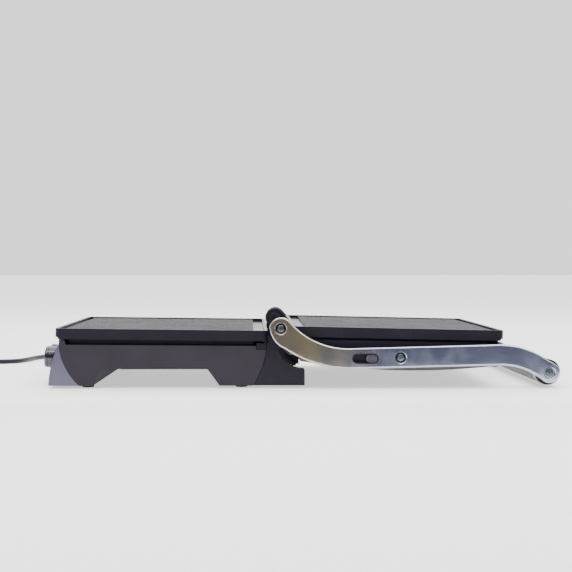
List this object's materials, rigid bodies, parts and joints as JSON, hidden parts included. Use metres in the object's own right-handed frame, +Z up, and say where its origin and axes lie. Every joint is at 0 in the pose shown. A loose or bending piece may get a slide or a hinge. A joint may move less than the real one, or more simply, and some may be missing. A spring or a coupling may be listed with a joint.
{
  "type": "contact grill",
  "caption": "Open contact grill with ribbed cooking plates, a tilting lid carried between two pivoted arms with a bar handle, and front control knobs.",
  "frame": {"origin": "Centre of the opened grill's footprint (without the cord), at the bottom of its rubber feet.", "axes": "+X runs from the control front to the handle, +Y is the side away from the release button, +Z is up."},
  "size_m": [0.9116, 0.5263, 0.0949],
  "materials": {
    "nonstick": "satin dark non-stick coating on cast aluminium",
    "element_steel": "heat-stained steel tube",
    "shield_steel": "bright pressed sheet",
    "frame_black": "matt heat-resistant moulding",
    "screw_zinc": "zinc-plated, slightly green-blue",
    "fuse": "ceramic-coloured moulding",
    "shell_grey": "fine-grained dark grey moulding",
    "cover_sheet": "dark coated sheet",
    "rubber": "matt black rubber",
    "fascia_grey": "satin lilac-grey",
    "lens": "translucent lamp lens",
    "black_plastic": "fine-grained black moulding",
    "tower_dark": "fine-grained near-black moulding",
    "phenolic": "brown phenolic moulding",
    "knob_chrome": "satin chrome-look plating",
    "pin_steel": "turned steel",
    "spring_steel": "drawn wire",
    "arm_silver": "polished and lightly brushed casting",
    "grip_brown": "smooth brown-black moulding",
    "collar_black": "black moulding",
    "lid_black": "fine-grained near-black moulding",
    "lid_brown": "warm grey-brown coated cover",
    "cord_grey": "grey flexible PVC",
    "plug_black": "moulded plug",
    "pin_brass": "nickel-plated brass"
  },
  "bodies": {
    "base": {"lower_plate": "nonstick", "lower_heating_element": "element_steel", "lower_heat_shield": "shield_steel", "lower_plate_frame": "frame_black", "lower_plate_screws": "screw_zinc", "lower_thermal_fuse": "fuse", "base_housing": "shell_grey", "base_bottom_cover": "cover_sheet", "base_bottom_screws": "screw_zinc", "rubber_pads": "rubber", "front_fascia": "fascia_grey", "indicator_lenses": "lens", "rear_panel": "black_plastic", "terminal_block": "fuse", "thermostat": "phenolic", "timer_switch": "phenolic", "hinge_tower_right": "tower_dark", "hinge_tower_left": "tower_dark", "hinge_knuckle_right": "black_plastic", "hinge_knuckle_left": "black_plastic", "hinge_pins": "pin_steel", "hinge_washers": "screw_zinc", "hinge_screws": "screw_zinc", "release_button_spring": "spring_steel", "cord_strain_relief": "rubber", "power_cord": "cord_grey", "cord_coil": "cord_grey", "cord_tie": "black_plastic", "cord_tail": "cord_grey", "plug_body": "plug_black", "plug_pins": "pin_brass"},
    "arms": {"arm_right": "arm_silver", "arm_left": "arm_silver", "slot_insert": "black_plastic", "handle_grip": "grip_brown", "handle_collars": "collar_black", "handle_core": "pin_steel", "handle_screws": "screw_zinc"},
    "lid": {"upper_plate": "nonstick", "upper_heating_element": "element_steel", "upper_heat_shield": "shield_steel", "upper_plate_frame": "frame_black", "upper_plate_screws": "screw_zinc", "upper_thermal_fuse": "fuse", "lid_housing": "lid_black", "lid_cover": "lid_brown", "lid_cowl": "black_plastic", "lid_screws": "screw_zinc", "lid_pivot_pins": "pin_steel", "lid_pivot_washers": "screw_zinc", "lid_pivot_screws": "screw_zinc", "lid_pivot_spacers": "black_plastic"},
    "lock_slider": {"lock_slider": "black_plastic"},
    "release_button": {"release_button": "black_plastic"},
    "temperature_knob": {"temperature_knob": "knob_chrome", "temperature_spindle": "pin_steel"},
    "timer_knob": {"timer_knob": "knob_chrome", "timer_spindle": "pin_steel"}
  },
  "joints": [
    {"name": "lid_hinge", "type": "hinge", "parent": "base", "child": "arms", "pos_m": [-0.02233, 0, 0.071], "axis": [0, -1, 0], "range_deg": [0, 180.54]},
    {"name": "lid_tilt", "type": "hinge", "parent": "arms", "child": "lid", "pos_m": [0.11857, 0, 0.0366], "axis": [0, 1, 0], "range_deg": [-3.5, 0], "stiffness_Nm_per_rad": 2, "springref_deg": 8.59},
    {"name": "lock_slide", "type": "slide", "parent": "arms", "child": "lock_slider", "axis": [-1, 0, 0], "range_m": [0, 0.013]},
    {"name": "release_press", "type": "slide", "parent": "base", "child": "release_button", "axis": [0, 1, 0], "range_m": [0, 0.0022], "stiffness_N_per_m": 800, "springref_m": -0.001, "deforming": ["release_button_spring"]},
    {"name": "temperature_turn", "type": "hinge", "parent": "base", "child": "temperature_knob", "pos_m": [-0.2913, -0.092, 0.0317], "axis": [0.9976, 0, -0.0698], "range_deg": [0, 270]},
    {"name": "timer_turn", "type": "hinge", "parent": "base", "child": "timer_knob", "pos_m": [-0.2913, -0.049, 0.0317], "axis": [0.9976, 0, -0.0698], "range_deg": [0, 300]}
  ]
}
